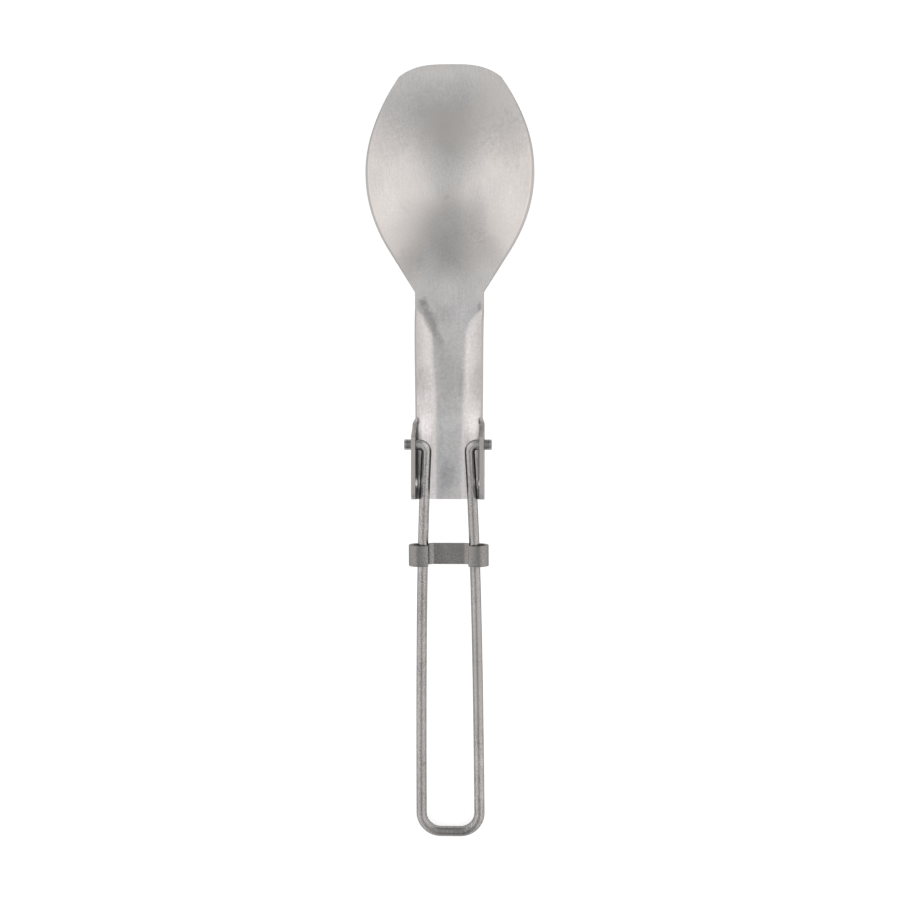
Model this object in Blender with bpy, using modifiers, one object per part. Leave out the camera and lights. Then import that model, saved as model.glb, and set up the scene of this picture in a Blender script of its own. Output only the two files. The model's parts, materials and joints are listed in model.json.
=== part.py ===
"""Folding camping spoon: a stamped sheet head, a bent wire handle that is its own hinge pin, and a
sheet slider that runs on the two legs of the wire.

+Y points to the tip of the bowl and +Z up. The spoon lies unfolded on the back of its bowl and on the
end of its wire loop, and the origin is on the ground below the middle of its length. Unit: metres.
"""

import math

import bmesh
import bpy
from mathutils import Matrix, Vector

# Sheet of the head. Its outlines and heights are those of its back face.
SHEET_THICKNESS = 0.0009
EDGE_ROUNDING = 0.00018

# Bowl, from the neck corners to the tip
BOWL_LENGTH = 0.0494
BOWL_HALF_WIDTH = 0.01835
WIDEST_FROM_TIP = 0.0232
FRONT_CLOSING_LENGTH = 0.0327
STRAIGHT_SIDE_LENGTH = 0.0090
REAR_CURVE_POWER = 2.10
TIP_CORNER_SETBACK = 0.0027
TIP_CURVE_POWER = 3.2
LOWEST_FROM_TIP = 0.0270
TIP_HEIGHT = 0.0072
TIP_CORNER_HEIGHT = 0.0072
SIDE_RIM_HEIGHT = 0.0075
RIM_DIP = 0.0011
NECK_RIM_HEIGHT = 0.0079
NECK_FALL_LENGTH = 0.0120
REST_FLAT_DEPTH = 0.00015

# Shank, from the end of the head to the neck corners
SHANK_LENGTH = 0.0448
NECK_HALF_WIDTH = 0.00750
SHANK_HALF_WIDTH = 0.00720
FLOOR_HALF_WIDTH = 0.0039
LOW_FLOOR_HALF_WIDTH = 0.0032
WALL_ANGLE = math.radians(28)
CREASE_SOFTNESS = 0.0004
FLARE_FROM_NECK = 0.0115
FLARE_LENGTH = 0.0075
FLARE_WIDTH = 0.0036
DISH_FROM_NECK = 0.0060
RAMP_LENGTH = 0.0224
SHANK_FLOOR_HEIGHT = 0.00756
SHANK_DROP = 0.0010
DROP_FROM_HEAD_END = 0.0215
DROP_LENGTH = 0.0110

# Ears and their pivot holes
EAR_LENGTH = 0.0175
EAR_FRONT_LENGTH = 0.0042
EAR_TURN_LENGTH = 0.0014
EAR_HALF_SPACING = 0.00780
EAR_BEND_RADIUS = 0.0019
EAR_ABOVE_PIVOT = 0.0025
EAR_CORNER_RADIUS = 0.0015
EAR_ROOT_LENGTH = 0.0005
PIVOT_FROM_HEAD_END = 0.0118
PIVOT_CLEARANCE = 0.0001

# Dimples in the ears, which keep the legs down
DIMPLE_FROM_PIVOT = 0.0082
DIMPLE_ABOVE_LEG = 0.0009
DIMPLE_RADIUS = 0.0013
DIMPLE_RISE = 0.00065
DIMPLE_ROOT_DEPTH = 0.0003
DENT_RADIUS = 0.0010
DENT_DEPTH = 0.0005

# Wire handle
WIRE_DIAMETER = 0.0022
PIVOT_HEIGHT = 0.01246
HANDLE_REACH = 0.0852
WIRE_END_HALF_SPAN = 0.00940
WIRE_END_ROUNDING = 0.00025
PIVOT_BEND_RADIUS = 0.0016
LEG_HALF_SPACING_AT_PIVOT = 0.00457
LEG_HALF_SPACING_AT_LOOP = 0.00645
LEG_FLARE_LENGTH = 0.0300
LOOP_CORNER_RADIUS = 0.0042

# Lock slider
SLIDER_FROM_PIVOT = 0.0241
SLIDER_WIDTH = 0.0046
SLIDER_HALF_LENGTH = 0.00865
SLIDER_SHEET = 0.0007
SLIDER_CLEARANCE = 0.00035
SLIDER_EDGE_ROUNDING = 0.00015
LIP_REACH = 0.0021
LIP_ANGLE = math.radians(22)
BRIDGE_HALF_LENGTH = 0.0033
BRIDGE_STEP_LENGTH = 0.0011
BRIDGE_DROP = 0.00042

# Fineness of the meshes
BOWL_REAR_ROWS = 7
BOWL_FRONT_ROWS = 7
NECK_ROWS = 4
FLARE_ROWS = 6
SHANK_ROWS = 6
EAR_FRONT_ROWS = 6
EAR_ROWS = 4
CORNER_ROWS = 3
FLOOR_COLUMNS = 4
WALL_COLUMNS = 3
EAR_BEND_COLUMNS = 3
EAR_UPRIGHT_COLUMNS = 2
BOWL_COLUMN_LENGTH = 0.0054
WIRE_BEVEL_RESOLUTION = 5
BEND_STEPS = 7
LEG_STEPS = 9
ROLL_STEPS = 12
LIP_STEPS = 4
BRIDGE_STEPS = 4
ROUND_SIDES = 32
DIMPLE_RINGS = 16
CUT_OVERRUN = 0.001
MERGE_DISTANCE = 0.00001
EDGE_ANGLE = math.radians(50)
SMOOTH_ANGLE = math.radians(40)

# Worked out from the sizes above
WIRE_RADIUS = WIRE_DIAMETER / 2
HANDLE_TILT = math.asin((PIVOT_HEIGHT - WIRE_RADIUS) / HANDLE_REACH)
HEAD_LENGTH = SHANK_LENGTH + BOWL_LENGTH
WIDEST = HEAD_LENGTH - WIDEST_FROM_TIP
TIP_CORNER = HEAD_LENGTH - TIP_CORNER_SETBACK
FLARE_START = SHANK_LENGTH - FLARE_FROM_NECK
DISH_START = SHANK_LENGTH - DISH_FROM_NECK
WALL_RISE = math.tan(WALL_ANGLE)
EAR_BEND_ANGLE = math.pi / 2 - WALL_ANGLE
PIVOT_TO_TIP = HEAD_LENGTH - PIVOT_FROM_HEAD_END
PIVOT_TO_REAR = HANDLE_REACH * math.cos(HANDLE_TILT) + WIRE_RADIUS
PIVOT_Y = (PIVOT_TO_REAR - PIVOT_TO_TIP) / 2
HEAD_END_Y = PIVOT_Y - PIVOT_FROM_HEAD_END
PIVOT_PLACE = Vector((0, PIVOT_Y, PIVOT_HEIGHT))

TITANIUM = (0.50, 0.49, 0.48, 1.0)
WIRE_GREY = (0.40, 0.39, 0.38, 1.0)
SLIDER_GREY = (0.20, 0.19, 0.185, 1.0)


def blend(first, last, share):
    return first + (last - first) * share


def smooth_step(value):
    """0 below 0, 1 above 1, and an even S-curve between."""
    value = min(max(value, 0.0), 1.0)
    return value * value * (3.0 - 2.0 * value)


def spaced(first, last, steps):
    """Values from first towards last in even steps, without last itself."""
    return [blend(first, last, step / steps) for step in range(steps)]


# The head's shape. "Along" is measured from the end of the head towards the tip, "across" from its
# middle line outwards.
def bowl_half_width(along):
    """A curve each way from the bowl's widest line, then a straight side on to the neck corner."""
    away = WIDEST - along
    if away < 0:
        return BOWL_HALF_WIDTH * (1.0 - (away / FRONT_CLOSING_LENGTH) ** 2)
    neck = WIDEST - SHANK_LENGTH
    touch = neck - STRAIGHT_SIDE_LENGTH
    reach = touch ** (REAR_CURVE_POWER - 1) * (touch + REAR_CURVE_POWER * STRAIGHT_SIDE_LENGTH)
    curvature = (BOWL_HALF_WIDTH - NECK_HALF_WIDTH) / reach
    if away < touch:
        return BOWL_HALF_WIDTH - curvature * away**REAR_CURVE_POWER
    width_at_touch = BOWL_HALF_WIDTH - curvature * touch**REAR_CURVE_POWER
    return blend(width_at_touch, NECK_HALF_WIDTH, (away - touch) / STRAIGHT_SIDE_LENGTH)


def head_half_width(along):
    if along >= SHANK_LENGTH:
        return bowl_half_width(along)
    return blend(SHANK_HALF_WIDTH, NECK_HALF_WIDTH, smooth_step(along / SHANK_LENGTH))


def drop_share(along):
    """0 on the low floor between the ears, 1 on the high floor towards the neck."""
    return smooth_step((along - DROP_FROM_HEAD_END) / DROP_LENGTH)


def spine_height(along):
    """Height on the middle line: level at the tip and the lowest spot, then a ramp up to the shank."""
    from_tip = HEAD_LENGTH - along
    lowest = -REST_FLAT_DEPTH
    if from_tip < LOWEST_FROM_TIP:
        return blend(lowest, TIP_HEIGHT, smooth_step(1.0 - from_tip / LOWEST_FROM_TIP))
    ramp = smooth_step((from_tip - LOWEST_FROM_TIP) / RAMP_LENGTH)
    return blend(lowest, SHANK_FLOOR_HEIGHT - SHANK_DROP * (1.0 - drop_share(along)), ramp)


def rim_height(along):
    """Height of the bowl's rim: from the neck down to its sides, then with a dip on to the tip's corners."""
    if along > WIDEST:
        share = min((along - WIDEST) / (TIP_CORNER - WIDEST), 1.0)
        dip = RIM_DIP * math.sin(math.pi * share) ** 2
        return blend(SIDE_RIM_HEIGHT, TIP_CORNER_HEIGHT, smooth_step(share)) - dip
    share = smooth_step((along - SHANK_LENGTH) / NECK_FALL_LENGTH)
    return blend(NECK_RIM_HEIGHT, SIDE_RIM_HEIGHT, share)


def crease_half_width(along):
    """Half width of the shank's flat floor, which flares in a curve before the corners of the neck."""
    flare = FLARE_WIDTH * (max(along - FLARE_START, 0.0) / FLARE_LENGTH) ** 3
    return blend(LOW_FLOOR_HALF_WIDTH, FLOOR_HALF_WIDTH, drop_share(along)) + flare


def sheet_height(across, along):
    """The dish of the bowl, or the slanted wall of the shank where that is higher."""
    spine = spine_height(along)
    depth = (rim_height(along) - spine) * smooth_step((along - DISH_START) / DISH_FROM_NECK)
    share = across / head_half_width(along)
    dish = spine + depth * share**2
    wall = spine + (across - crease_half_width(along)) * WALL_RISE
    return (dish + wall + math.hypot(dish - wall, CREASE_SOFTNESS)) / 2


def head_point(across, along):
    """A point of the back face. The rows bulge towards the tip, so that the last one is the tip's edge."""
    bulge = TIP_CORNER_SETBACK * smooth_step((along - WIDEST) / (TIP_CORNER - WIDEST))
    place = along + bulge * (1.0 - (across / head_half_width(along)) ** TIP_CURVE_POWER)
    return Vector((across, HEAD_END_Y + place, sheet_height(across, place)))


def turned_share(along):
    """0 on the shank, rising quickly to 1 where the wall's edge has turned upright into the ear."""
    inside_ear = min(max((EAR_LENGTH - along) / EAR_TURN_LENGTH, 0.0), 1.0)
    return math.sin(inside_ear * math.pi / 2)


def ear_root(along):
    """Where the ear's bend starts across the sheet, so that the edge above it keeps to the outline."""
    turned = turned_share(along)
    edge = blend(head_half_width(along), EAR_HALF_SPACING, turned)
    end_angle = WALL_ANGLE + EAR_BEND_ANGLE * turned
    bend_reach = EAR_BEND_RADIUS * (math.sin(end_angle) - math.sin(WALL_ANGLE))
    return edge - bend_reach - EAR_ROOT_LENGTH * math.cos(end_angle)


def ear_points(root, along):
    """Points up the ear: the wall's last strip turns upright first, and then grows to its full height."""
    turned = turned_share(along)
    growth_start = EAR_LENGTH - EAR_TURN_LENGTH
    grown = smooth_step((growth_start - along) / (EAR_FRONT_LENGTH - EAR_TURN_LENGTH))
    inside_corner = max(EAR_CORNER_RADIUS - along, 0.0)
    corner_drop = EAR_CORNER_RADIUS - math.sqrt(EAR_CORNER_RADIUS**2 - inside_corner**2)
    root_height = sheet_height(root, along)
    bend_height = EAR_BEND_RADIUS * math.cos(WALL_ANGLE)
    full_height = PIVOT_HEIGHT + EAR_ABOVE_PIVOT - corner_drop - root_height - bend_height
    upright = blend(EAR_ROOT_LENGTH, full_height, grown)
    bend = EAR_BEND_RADIUS * EAR_BEND_ANGLE * turned
    columns = EAR_BEND_COLUMNS + EAR_UPRIGHT_COLUMNS
    knee = bend + upright * (1.0 - turned) * EAR_BEND_COLUMNS / columns
    lengths = spaced(0.0, knee, EAR_BEND_COLUMNS)[1:]
    lengths += spaced(knee, bend + upright, EAR_UPRIGHT_COLUMNS) + [bend + upright]
    points = []
    for length in lengths:
        angle = WALL_ANGLE + min(length, bend) / EAR_BEND_RADIUS
        straight = max(length - bend, 0.0)
        outwards = EAR_BEND_RADIUS * (math.sin(angle) - math.sin(WALL_ANGLE)) + straight * math.cos(angle)
        upwards = EAR_BEND_RADIUS * (math.cos(WALL_ANGLE) - math.cos(angle)) + straight * math.sin(angle)
        points.append(Vector((root + outwards, HEAD_END_Y + along, root_height + upwards)))
    return points


def head_row(along):
    """Points of the back face from the middle line out to the rim, or up to the top of the ear."""
    root = ear_root(along)
    crease = min(crease_half_width(along), root - CREASE_SOFTNESS * 2)
    crease_start = crease - CREASE_SOFTNESS
    crease_end = crease + CREASE_SOFTNESS
    places = spaced(0.0, crease_start, FLOOR_COLUMNS) + [crease_start, crease, crease_end]
    places += spaced(crease_end, root, WALL_COLUMNS)[1:] + [root]
    if along < EAR_LENGTH:
        return [head_point(across, along) for across in places] + ear_points(root, along)
    places += [point.x for point in ear_points(root, along)]

    # In the bowl there is no crease, and the columns spread out evenly
    spread = smooth_step((along - SHANK_LENGTH) / BOWL_COLUMN_LENGTH)
    last = len(places) - 1
    even = [head_half_width(along) * column / last for column in range(last + 1)]
    return [head_point(blend(place, level, spread), along) for place, level in zip(places, even)]


def head_rows():
    """Where the rows lie: close together where the shape turns, wider apart where it runs on."""
    corner_angles = spaced(0.0, math.pi / 2, CORNER_ROWS)
    rows = [EAR_CORNER_RADIUS * (1.0 - math.cos(angle)) for angle in corner_angles]
    rows += spaced(EAR_CORNER_RADIUS, EAR_LENGTH - EAR_FRONT_LENGTH, EAR_ROWS)
    rows += spaced(EAR_LENGTH - EAR_FRONT_LENGTH, EAR_LENGTH, EAR_FRONT_ROWS)
    rows += spaced(EAR_LENGTH, FLARE_START, SHANK_ROWS)
    rows += spaced(FLARE_START, SHANK_LENGTH, FLARE_ROWS)
    rows += spaced(SHANK_LENGTH, SHANK_LENGTH + BOWL_COLUMN_LENGTH, NECK_ROWS)
    rows += spaced(SHANK_LENGTH + BOWL_COLUMN_LENGTH, WIDEST, BOWL_REAR_ROWS)
    return rows + spaced(WIDEST, TIP_CORNER, BOWL_FRONT_ROWS) + [TIP_CORNER]


# Shared helpers
def start_scene(name):
    """An empty scene with one collection for the spoon and one for its cutters."""
    for thing in list(bpy.data.objects):
        bpy.data.objects.remove(thing, do_unlink=True)
    collections = []
    for title in (name, "cutters"):
        collection = bpy.data.collections.new(title)
        bpy.context.scene.collection.children.link(collection)
        collections.append(collection)
    return collections


def metal(name, colour, roughness):
    material = bpy.data.materials.new(name)
    material.use_nodes = True
    shader = material.node_tree.nodes["Principled BSDF"]
    shader.inputs["Base Color"].default_value = colour
    shader.inputs["Roughness"].default_value = roughness
    shader.inputs["Metallic"].default_value = 1.0
    material.diffuse_color = colour
    return material


def object_from_bmesh(name, form, collection, material=None):
    mesh = bpy.data.meshes.new(name)
    form.to_mesh(mesh)
    form.free()
    thing = bpy.data.objects.new(name, mesh)
    collection.objects.link(thing)
    if material:
        mesh.materials.append(material)
        mesh.shade_smooth()
    return thing


def cutter_from_bmesh(name, form, collection):
    cutter = object_from_bmesh(name, form, collection)
    cutter.display_type = "WIRE"
    cutter.hide_render = True
    return cutter


def add_boolean(thing, operation, other):
    boolean = thing.modifiers.new(other.name, "BOOLEAN")
    boolean.operation = operation
    boolean.solver = "EXACT"
    boolean.object = other


def add_edge_rounding(thing, width):
    rounding = thing.modifiers.new("edge_rounding", "BEVEL")
    rounding.limit_method = "ANGLE"
    rounding.angle_limit = EDGE_ANGLE
    rounding.width = width
    rounding.segments = 1


# Head
def dimple_place(side, across):
    """A point on a dimple's axis, which lies across the ear and a little above the leg."""
    height = PIVOT_HEIGHT - DIMPLE_FROM_PIVOT * math.sin(HANDLE_TILT) + DIMPLE_ABOVE_LEG
    return Vector((side * across, PIVOT_Y - DIMPLE_FROM_PIVOT * math.cos(HANDLE_TILT), height))


def cap_radius(base_radius, rise):
    """Radius of the sphere whose cap has this base and rise."""
    return (base_radius**2 + rise**2) / (2 * rise)


def add_ball(form, radius, centre):
    bmesh.ops.create_uvsphere(
        form,
        u_segments=ROUND_SIDES,
        v_segments=DIMPLE_RINGS,
        radius=radius,
        matrix=Matrix.Translation(centre) @ Matrix.Rotation(math.pi / 2, 4, "Y"),
    )


def make_dimple_bump(side, collection):
    """A cap of a sphere on the ear's inner face, closed off inside the sheet."""
    inner_face = EAR_HALF_SPACING - SHEET_THICKNESS
    radius = cap_radius(DIMPLE_RADIUS, DIMPLE_RISE)
    form = bmesh.new()
    add_ball(form, radius, dimple_place(side, inner_face - DIMPLE_RISE + radius))
    cut = bmesh.ops.bisect_plane(
        form,
        geom=form.verts[:] + form.edges[:] + form.faces[:],
        plane_co=dimple_place(side, inner_face + DIMPLE_ROOT_DEPTH),
        plane_no=(side, 0, 0),
        clear_outer=True,
    )
    cut_edges = [item for item in cut["geom_cut"] if isinstance(item, bmesh.types.BMEdge)]
    bmesh.ops.contextual_create(form, geom=cut_edges)
    bmesh.ops.recalc_face_normals(form, faces=form.faces[:])
    return cutter_from_bmesh("dimple_bump", form, collection)


def make_ear_dent(side, collection):
    radius = cap_radius(DENT_RADIUS, DENT_DEPTH)
    form = bmesh.new()
    add_ball(form, radius, dimple_place(side, EAR_HALF_SPACING - DENT_DEPTH + radius))
    return cutter_from_bmesh("ear_dent", form, collection)


def make_pivot_drill(collection):
    length = 2 * (EAR_HALF_SPACING + CUT_OVERRUN)
    radius = WIRE_RADIUS + PIVOT_CLEARANCE
    form = bmesh.new()
    bmesh.ops.create_cone(
        form,
        cap_ends=True,
        segments=ROUND_SIDES,
        radius1=radius,
        radius2=radius,
        depth=length,
        matrix=Matrix.Translation(PIVOT_PLACE) @ Matrix.Rotation(math.pi / 2, 4, "Y"),
    )
    return cutter_from_bmesh("pivot_drill", form, collection)


def make_rest_grinder(collection):
    """A block whose top is the ground, which leaves a small flat on the back of the bowl."""
    form = bmesh.new()
    bmesh.ops.create_cube(form, size=1.0)
    bmesh.ops.scale(form, vec=(2 * BOWL_HALF_WIDTH, BOWL_LENGTH, CUT_OVERRUN), verts=form.verts[:])
    middle = Vector((0, HEAD_END_Y + HEAD_LENGTH - LOWEST_FROM_TIP, -CUT_OVERRUN / 2))
    bmesh.ops.translate(form, vec=middle, verts=form.verts[:])
    return cutter_from_bmesh("rest_grinder", form, collection)


def make_head(collection, cutters):
    """Half the back face as a loft, mirrored and thickened inwards, then pierced and dimpled."""
    form = bmesh.new()
    rows = [[form.verts.new(point) for point in head_row(along)] for along in head_rows()]
    for rear, front in zip(rows, rows[1:]):
        for column in range(len(rear) - 1):
            form.faces.new((rear[column], front[column], front[column + 1], rear[column + 1]))
    head = object_from_bmesh("spoon_head", form, collection, metal("brushed_titanium", TITANIUM, 0.38))
    mirror = head.modifiers.new("mirror", "MIRROR")
    mirror.merge_threshold = MERGE_DISTANCE
    sheet = head.modifiers.new("sheet", "SOLIDIFY")
    sheet.thickness = SHEET_THICKNESS
    sheet.offset = -1.0
    sheet.use_even_offset = True
    add_edge_rounding(head, EDGE_ROUNDING)
    add_boolean(head, "DIFFERENCE", make_rest_grinder(cutters))
    for side in (-1, 1):
        add_boolean(head, "UNION", make_dimple_bump(side, cutters))
        add_boolean(head, "DIFFERENCE", make_ear_dent(side, cutters))
    add_boolean(head, "DIFFERENCE", make_pivot_drill(cutters))
    head.data.set_sharp_from_angle(angle=SMOOTH_ANGLE)
    return head


# Wire handle, in its own frame: the hinge axis is X and the legs run towards -Y
def leg_half_spacing(distance):
    """The legs spring apart from the pivot, quickly at first."""
    spread = LEG_HALF_SPACING_AT_LOOP - LEG_HALF_SPACING_AT_PIVOT
    return LEG_HALF_SPACING_AT_LOOP - spread * math.exp(-distance / LEG_FLARE_LENGTH)


def wire_route():
    """Points along the wire's middle, from one end through the loop to the other."""
    bend_x = leg_half_spacing(PIVOT_BEND_RADIUS) + PIVOT_BEND_RADIUS
    loop_start = HANDLE_REACH - LOOP_CORNER_RADIUS
    corner_x = leg_half_spacing(loop_start) - LOOP_CORNER_RADIUS
    half = [(WIRE_END_HALF_SPAN, 0.0)]
    for angle in spaced(0.0, math.pi / 2, BEND_STEPS):
        x = bend_x - PIVOT_BEND_RADIUS * math.sin(angle)
        half.append((x, PIVOT_BEND_RADIUS * (math.cos(angle) - 1.0)))
    for distance in spaced(PIVOT_BEND_RADIUS, loop_start, LEG_STEPS):
        half.append((leg_half_spacing(distance), -distance))
    for angle in spaced(0.0, math.pi / 2, BEND_STEPS) + [math.pi / 2]:
        x = corner_x + LOOP_CORNER_RADIUS * math.cos(angle)
        half.append((x, -loop_start - LOOP_CORNER_RADIUS * math.sin(angle)))
    return half + [(-x, y) for x, y in reversed(half)]


def make_handle(collection):
    curve = bpy.data.curves.new("wire_handle", "CURVE")
    curve.dimensions = "3D"
    curve.bevel_depth = WIRE_RADIUS
    curve.bevel_resolution = WIRE_BEVEL_RESOLUTION
    curve.use_fill_caps = True
    route = wire_route()
    spline = curve.splines.new("POLY")
    spline.points.add(len(route) - 1)
    for point, (x, y) in zip(spline.points, route):
        point.co = (x, y, 0, 1)
    spline.use_smooth = True
    curve.materials.append(metal("bare_wire", WIRE_GREY, 0.45))
    handle = bpy.data.objects.new("wire_handle", curve)
    collection.objects.link(handle)
    handle.location = PIVOT_PLACE
    handle.rotation_euler.x = HANDLE_TILT
    weld = handle.modifiers.new("weld", "WELD")
    weld.merge_threshold = MERGE_DISTANCE
    add_edge_rounding(handle, WIRE_END_ROUNDING)
    return handle


# Lock slider, in the handle's frame: X across, Z out of the plane of the wire
def slider_profile():
    """The middle of the sheet, from the bridge below the legs, round a leg, to the free lip above it."""
    roll_radius = WIRE_RADIUS + SLIDER_CLEARANCE + SLIDER_SHEET / 2
    roll_middle = SLIDER_HALF_LENGTH - SLIDER_SHEET / 2 - roll_radius
    lip_radius = LIP_REACH / math.sin(LIP_ANGLE)
    half = []
    for share in spaced(0.0, 1.0, BRIDGE_STEPS) + [1.0]:
        x = BRIDGE_HALF_LENGTH + BRIDGE_STEP_LENGTH * share
        half.append((x, -roll_radius - BRIDGE_DROP * (1.0 - smooth_step(share))))
    for angle in spaced(-math.pi / 2, math.pi / 2, ROLL_STEPS) + [math.pi / 2]:
        half.append((roll_middle + roll_radius * math.cos(angle), roll_radius * math.sin(angle)))
    for angle in spaced(0.0, LIP_ANGLE, LIP_STEPS)[1:] + [LIP_ANGLE]:
        across = roll_middle - lip_radius * math.sin(angle)
        half.append((across, roll_radius - lip_radius * (1.0 - math.cos(angle))))
    return [(-x, z) for x, z in reversed(half)] + half


def make_slider(handle, collection):
    form = bmesh.new()
    front = [form.verts.new((x, SLIDER_WIDTH / 2, z)) for x, z in slider_profile()]
    rear = [form.verts.new((x, -SLIDER_WIDTH / 2, z)) for x, z in slider_profile()]
    for place in range(len(front) - 1):
        form.faces.new((front[place], rear[place], rear[place + 1], front[place + 1]))
    slider = object_from_bmesh("lock_slider", form, collection, metal("dark_titanium", SLIDER_GREY, 0.5))
    slider.parent = handle
    slider.location = (0, -SLIDER_FROM_PIVOT, 0)
    sheet = slider.modifiers.new("sheet", "SOLIDIFY")
    sheet.thickness = SLIDER_SHEET
    sheet.offset = 0.0
    sheet.use_even_offset = True
    add_edge_rounding(slider, SLIDER_EDGE_ROUNDING)
    slider.data.set_sharp_from_angle(angle=SMOOTH_ANGLE)
    return slider


def main():
    spoon, cutters = start_scene("camping_spoon")
    make_head(spoon, cutters)
    handle = make_handle(spoon)
    make_slider(handle, spoon)


main()
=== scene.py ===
"""Looks of the folding camping spoon: the fine stamped sheet, the drawn wire and the rolled slider.

Every size is in metres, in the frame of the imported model: +Y to the tip of the bowl, +Z up.
"""

import json
import math

import bmesh
import bpy
from mathutils import Matrix, Vector


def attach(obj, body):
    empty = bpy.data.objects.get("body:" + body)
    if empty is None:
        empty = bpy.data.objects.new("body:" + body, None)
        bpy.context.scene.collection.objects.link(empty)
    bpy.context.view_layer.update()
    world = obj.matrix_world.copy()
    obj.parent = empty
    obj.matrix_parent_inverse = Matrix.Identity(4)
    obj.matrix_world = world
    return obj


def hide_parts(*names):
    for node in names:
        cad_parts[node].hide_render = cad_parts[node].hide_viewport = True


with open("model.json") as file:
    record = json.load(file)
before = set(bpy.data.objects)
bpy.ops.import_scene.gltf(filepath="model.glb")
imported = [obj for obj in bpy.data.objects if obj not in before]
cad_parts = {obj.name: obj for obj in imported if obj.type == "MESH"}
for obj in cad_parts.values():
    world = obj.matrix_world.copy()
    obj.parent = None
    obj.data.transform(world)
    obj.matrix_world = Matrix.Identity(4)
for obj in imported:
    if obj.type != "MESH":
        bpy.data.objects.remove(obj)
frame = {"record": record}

# Sheet of the head. Its outlines and heights are those of its back face.
SHEET_THICKNESS = 0.0009
EDGE_ROUNDING = 0.00018

# Bowl, from the neck corners to the tip
BOWL_LENGTH = 0.0494
BOWL_HALF_WIDTH = 0.01835
WIDEST_FROM_TIP = 0.0232
FRONT_CLOSING_LENGTH = 0.0327
STRAIGHT_SIDE_LENGTH = 0.0090
REAR_CURVE_POWER = 2.10
TIP_CORNER_SETBACK = 0.0027
TIP_CURVE_POWER = 3.2
LOWEST_FROM_TIP = 0.0270
TIP_HEIGHT = 0.0072
TIP_CORNER_HEIGHT = 0.0072
SIDE_RIM_HEIGHT = 0.0075
RIM_DIP = 0.0011
NECK_RIM_HEIGHT = 0.0079
NECK_FALL_LENGTH = 0.0120
REST_FLAT_DEPTH = 0.00015

# Shank, from the end of the head to the neck corners
SHANK_LENGTH = 0.0448
NECK_HALF_WIDTH = 0.00750
SHANK_HALF_WIDTH = 0.00720
FLOOR_HALF_WIDTH = 0.0039
LOW_FLOOR_HALF_WIDTH = 0.0032
WALL_ANGLE = math.radians(28)
CREASE_SOFTNESS = 0.0004
FLARE_FROM_NECK = 0.0115
FLARE_LENGTH = 0.0075
FLARE_WIDTH = 0.0036
DISH_FROM_NECK = 0.0060
RAMP_LENGTH = 0.0224
SHANK_FLOOR_HEIGHT = 0.00756
SHANK_DROP = 0.0010
DROP_FROM_HEAD_END = 0.0215
DROP_LENGTH = 0.0110

# Ears and their pivot holes
EAR_LENGTH = 0.0175
EAR_FRONT_LENGTH = 0.0042
EAR_TURN_LENGTH = 0.0014
EAR_HALF_SPACING = 0.00780
EAR_BEND_RADIUS = 0.0019
EAR_ABOVE_PIVOT = 0.0025
EAR_CORNER_RADIUS = 0.0015
EAR_ROOT_LENGTH = 0.0005
PIVOT_FROM_HEAD_END = 0.0118
PIVOT_CLEARANCE = 0.0001
HOLE_EDGE_ROUNDING = 0.00012

# Dimples in the ears, which keep the legs down
DIMPLE_FROM_PIVOT = 0.0082
DIMPLE_ABOVE_LEG = 0.0009
DIMPLE_RADIUS = 0.0013
DIMPLE_RISE = 0.00065
DIMPLE_ROOT_DEPTH = 0.0003
DENT_RADIUS = 0.0010
DENT_DEPTH = 0.0005

# Wire handle
WIRE_DIAMETER = 0.0022
HANDLE_REACH = 0.0852
WIRE_END_HALF_SPAN = 0.00940
WIRE_END_ROUNDING = 0.00028
PIVOT_BEND_RADIUS = 0.0016
LEG_HALF_SPACING_AT_PIVOT = 0.00457
LEG_HALF_SPACING_AT_LOOP = 0.00645
LEG_FLARE_LENGTH = 0.0300
LOOP_CORNER_RADIUS = 0.0042

# Lock slider
SLIDER_FROM_PIVOT = 0.0241
SLIDER_WIDTH = 0.0046
SLIDER_HALF_LENGTH = 0.00865
SLIDER_SHEET = 0.0007
SLIDER_CLEARANCE = 0.00035
SLIDER_EDGE_ROUNDING = 0.00020
LIP_REACH = 0.0021
LIP_ANGLE = math.radians(22)
BRIDGE_HALF_LENGTH = 0.0033
BRIDGE_STEP_LENGTH = 0.0011
BRIDGE_DROP = 0.00042

# Fineness of the meshes
BOWL_REAR_ROWS = 35
BOWL_FRONT_ROWS = 35
NECK_ROWS = 14
FLARE_ROWS = 36
SHANK_ROWS = 30
EAR_FRONT_ROWS = 18
EAR_ROWS = 10
CORNER_ROWS = 8
FLOOR_COLUMNS = 10
CREASE_COLUMNS = 6
WALL_COLUMNS = 8
EAR_BEND_COLUMNS = 8
EAR_UPRIGHT_COLUMNS = 4
BOWL_COLUMN_LENGTH = 0.0054
WIRE_BEVEL_RESOLUTION = 14
BEND_STEPS = 24
LEG_STEPS = 60
ROLL_STEPS = 40
LIP_STEPS = 14
BRIDGE_STEPS = 14
BRIDGE_MIDDLE_STEPS = 6
SLIDER_WIDTH_STEPS = 6
EDGE_SEGMENTS = 3
ROUND_SIDES = 64
DIMPLE_RINGS = 32

# How far cutters stand proud, which points count as one, and which edges are rounded or left sharp
CUT_OVERRUN = 0.001
MERGE_DISTANCE = 0.00001
EDGE_ANGLE = math.radians(50)
SMOOTH_ANGLE = math.radians(38)

# The photograph's view: where it looks, how far it leans to the right and turns, and its width there
VIEW_TARGET = (0.0001, 0.00047, 0.0070)
VIEW_WIDTH = 0.19515
VIEW_LEAN = math.radians(3.5)
VIEW_TURN = math.radians(0.08)
CAMERA_LENS = 135.0
CAMERA_SENSOR = 36.0

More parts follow.
